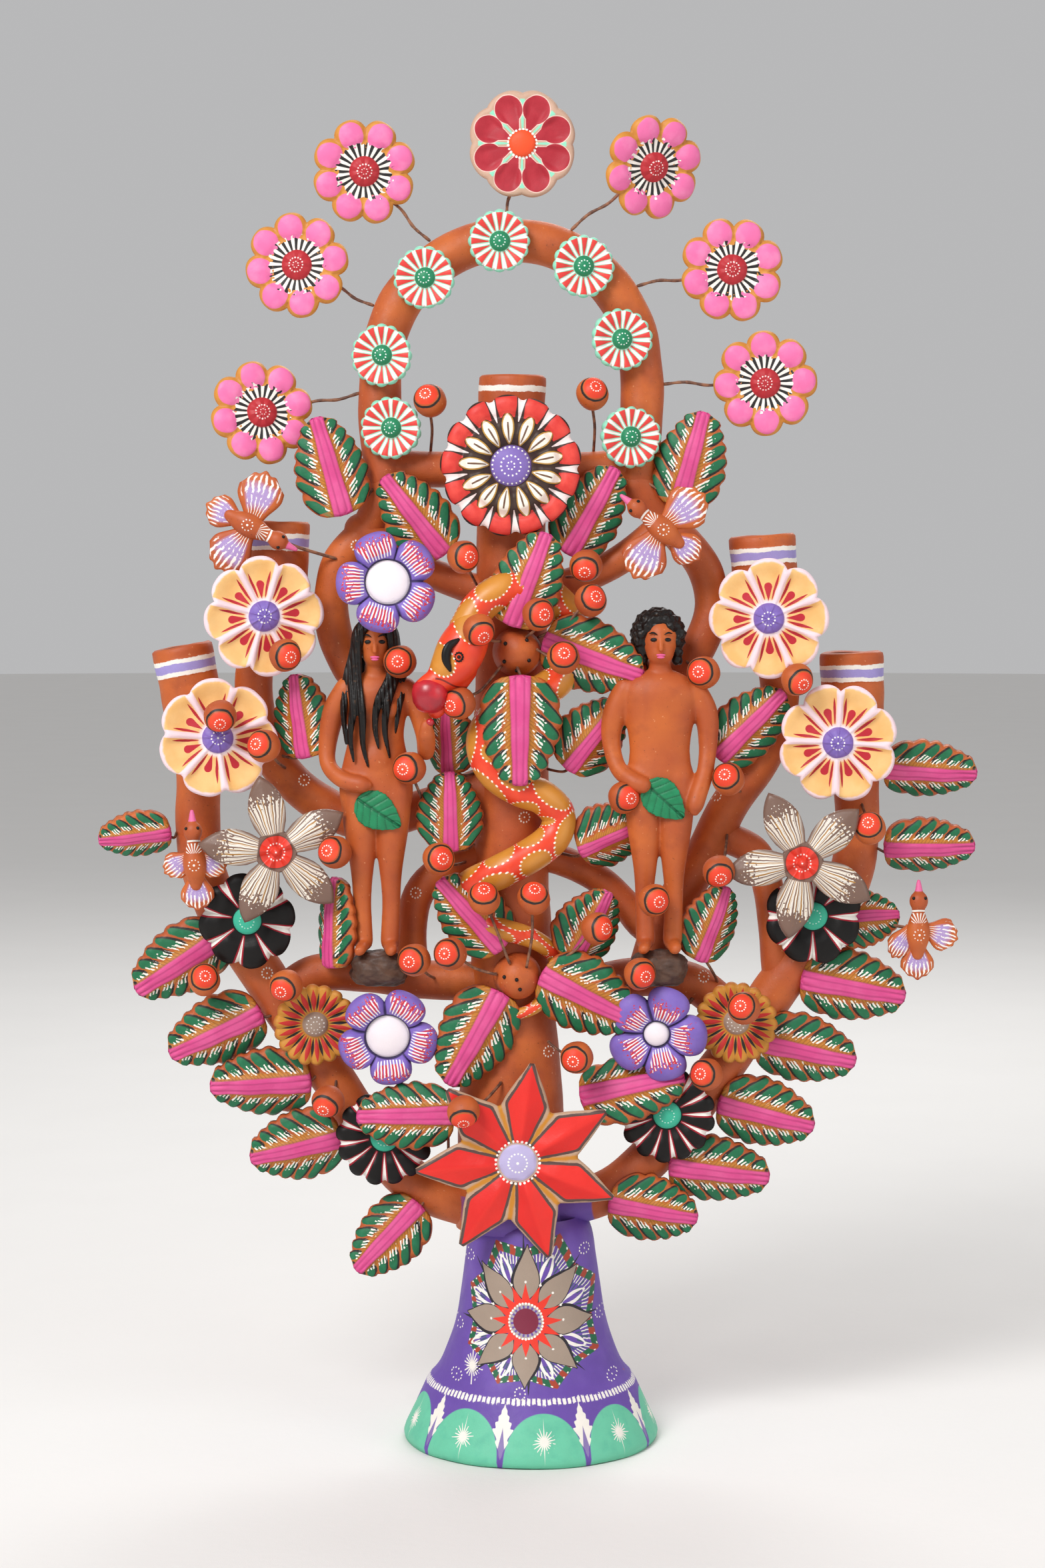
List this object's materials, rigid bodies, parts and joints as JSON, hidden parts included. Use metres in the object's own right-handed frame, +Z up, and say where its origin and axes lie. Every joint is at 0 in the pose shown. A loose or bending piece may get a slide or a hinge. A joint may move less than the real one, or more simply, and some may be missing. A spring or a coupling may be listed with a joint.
{
  "type": "clay tree of life candelabra",
  "caption": "Terracotta tree candelabra on a hollow bell foot: curved bars, candle cups, two figures, a coiled serpent, painted clay flowers, leaves and birds on iron wires.",
  "frame": {"origin": "on the table, under the middle of the bell foot and of the whole object", "axes": "+Z up; the figures and flowers face -Y; +X to the right of someone facing it"},
  "size_m": [0.3928, 0.116, 0.6068],
  "materials": {
    "terracotta": "matt burnished clay",
    "purple_bell": "matt painted clay",
    "serpent_red": "satin painted clay",
    "apple_red": "satin painted clay",
    "rock_brown": "matt painted clay",
    "figure_clay": "satin burnished clay",
    "flower_red": "matt painted clay",
    "flower_pink": "matt painted clay",
    "flower_purple": "matt painted clay",
    "flower_cream": "matt painted clay",
    "flower_brown": "satin painted clay with metallic strokes",
    "flower_black": "satin painted clay",
    "flower_ochre": "matt painted clay",
    "leaf_paint": "clay with pink, green and white brush strokes",
    "iron_wire": "dark annealed wire"
  },
  "bodies": {
    "root": {"base_bell": "purple_bell", "trunk": "terracotta", "arch_hoop": "terracotta", "outer_arm_left": "terracotta", "outer_arm_right": "terracotta", "middle_arm_left": "terracotta", "middle_arm_right": "terracotta", "pedestal_arm_left": "terracotta", "pedestal_arm_right": "terracotta", "upper_arm_left": "terracotta", "upper_arm_right": "terracotta", "candle_cup_top": "terracotta", "candle_cup_middle_left": "terracotta", "candle_cup_middle_right": "terracotta", "candle_cup_outer_left": "terracotta", "candle_cup_outer_right": "terracotta", "serpent": "serpent_red", "apple": "apple_red", "rock_woman": "rock_brown", "rock_man": "rock_brown", "woman_figure": "figure_clay", "man_figure": "figure_clay", "centre_flower": "flower_red", "poinsettia": "flower_red", "purple_flower_upper": "flower_purple", "purple_flower_left": "flower_purple", "purple_flower_right": "flower_purple", "cream_flower_middle_left": "flower_cream", "cream_flower_outer_left": "flower_cream", "cream_flower_middle_right": "flower_cream", "cream_flower_outer_right": "flower_cream", "star_flower_left": "flower_brown", "star_flower_right": "flower_brown", "black_flower_left": "flower_black", "black_flower_right": "flower_black", "black_flower_lower_left": "flower_black", "black_flower_lower_right": "flower_black", "daisy_left": "flower_ochre", "daisy_right": "flower_ochre", "bird_upper_right": "terracotta", "bird_left": "terracotta", "leaf_outer_left": "leaf_paint", "leaf_outer_right_high": "leaf_paint", "leaf_outer_right_low": "leaf_paint"},
    "stalk_top": {"flower_wire_top": "iron_wire"},
    "head_top": {"flower_head_top": "flower_red"},
    "stalk_left_high": {"flower_wire_left_high": "iron_wire"},
    "head_left_high": {"flower_head_left_high": "flower_pink"},
    "stalk_left_mid": {"flower_wire_left_mid": "iron_wire"},
    "head_left_mid": {"flower_head_left_mid": "flower_pink"},
    "stalk_left_low": {"flower_wire_left_low": "iron_wire"},
    "head_left_low": {"flower_head_left_low": "flower_pink"},
    "stalk_right_high": {"flower_wire_right_high": "iron_wire"},
    "head_right_high": {"flower_head_right_high": "flower_pink"},
    "stalk_right_mid": {"flower_wire_right_mid": "iron_wire"},
    "head_right_mid": {"flower_head_right_mid": "flower_pink"},
    "stalk_right_low": {"flower_wire_right_low": "iron_wire"},
    "head_right_low": {"flower_head_right_low": "flower_pink"},
    "bird_upper_left_on_wire": {"bird_upper_left": "terracotta"},
    "bird_right_on_wire": {"bird_right": "terracotta"}
  },
  "joints": [
    {"name": "sway_top", "type": "hinge", "parent": "root", "child": "stalk_top", "pos_m": [-0.011, 0, 0.5523], "axis": [0, 1, 0], "range_deg": [-6, 6], "stiffness_Nm_per_rad": 2.37},
    {"name": "nod_top", "type": "hinge", "parent": "stalk_top", "child": "head_top", "pos_m": [-0.004, -0.0023, 0.583], "axis": [0.975, 0, -0.2223], "range_deg": [-8, 8], "stiffness_Nm_per_rad": 2.37},
    {"name": "sway_left_high", "type": "hinge", "parent": "root", "child": "stalk_left_high", "pos_m": [-0.0455, 0, 0.5417], "axis": [0, 1, 0], "range_deg": [-6, 6], "stiffness_Nm_per_rad": 1.87},
    {"name": "nod_left_high", "type": "hinge", "parent": "stalk_left_high", "child": "head_left_high", "pos_m": [-0.074, -0.0023, 0.571], "axis": [0.7168, 0, 0.6973], "range_deg": [-8, 8], "stiffness_Nm_per_rad": 1.87},
    {"name": "sway_left_mid", "type": "hinge", "parent": "root", "child": "stalk_left_mid", "pos_m": [-0.0708, 0, 0.513], "axis": [0, 1, 0], "range_deg": [-6, 6], "stiffness_Nm_per_rad": 2.03},
    {"name": "nod_left_mid", "type": "hinge", "parent": "stalk_left_mid", "child": "head_left_mid", "pos_m": [-0.104, -0.0023, 0.53], "axis": [0.4558, 0, 0.8901], "range_deg": [-8, 8], "stiffness_Nm_per_rad": 2.03},
    {"name": "sway_left_low", "type": "hinge", "parent": "root", "child": "stalk_left_low", "pos_m": [-0.0772, 0, 0.474], "axis": [0, 1, 0], "range_deg": [-6, 6], "stiffness_Nm_per_rad": 1.76},
    {"name": "nod_left_low", "type": "hinge", "parent": "stalk_left_low", "child": "head_left_low", "pos_m": [-0.12, -0.0023, 0.465], "axis": [-0.2058, 0, 0.9786], "range_deg": [-8, 8], "stiffness_Nm_per_rad": 1.76},
    {"name": "sway_right_high", "type": "hinge", "parent": "root", "child": "stalk_right_high", "pos_m": [0.0182, 0, 0.5466], "axis": [0, 1, 0], "range_deg": [-6, 6], "stiffness_Nm_per_rad": 1.73},
    {"name": "nod_right_high", "type": "hinge", "parent": "stalk_right_high", "child": "head_right_high", "pos_m": [0.054, -0.0023, 0.573], "axis": [0.5935, 0, -0.8048], "range_deg": [-8, 8], "stiffness_Nm_per_rad": 1.73},
    {"name": "sway_right_mid", "type": "hinge", "parent": "root", "child": "stalk_right_mid", "pos_m": [0.0477, 0, 0.5216], "axis": [0, 1, 0], "range_deg": [-6, 6], "stiffness_Nm_per_rad": 1.83},
    {"name": "nod_right_mid", "type": "hinge", "parent": "stalk_right_mid", "child": "head_right_mid", "pos_m": [0.089, -0.0023, 0.528], "axis": [0.1531, 0, -0.9882], "range_deg": [-8, 8], "stiffness_Nm_per_rad": 1.83},
    {"name": "sway_right_low", "type": "hinge", "parent": "root", "child": "stalk_right_low", "pos_m": [0.0592, 0, 0.478], "axis": [0, 1, 0], "range_deg": [-6, 6], "stiffness_Nm_per_rad": 1.72},
    {"name": "nod_right_low", "type": "hinge", "parent": "stalk_right_low", "child": "head_right_low", "pos_m": [0.104, -0.0023, 0.478], "axis": [0, 0, -1], "range_deg": [-8, 8], "stiffness_Nm_per_rad": 1.72},
    {"name": "sway_bird_upper_left", "type": "hinge", "parent": "root", "child": "bird_upper_left_on_wire", "pos_m": [-0.0875, -0.0083, 0.4003], "axis": [0, 1, 0], "range_deg": [-5, 5], "stiffness_Nm_per_rad": 1.9},
    {"name": "sway_bird_right", "type": "hinge", "parent": "root", "child": "bird_right_on_wire", "pos_m": [0.1495, -0.0022, 0.243], "axis": [0, 1, 0], "range_deg": [-5, 5], "stiffness_Nm_per_rad": 2.6}
  ]
}
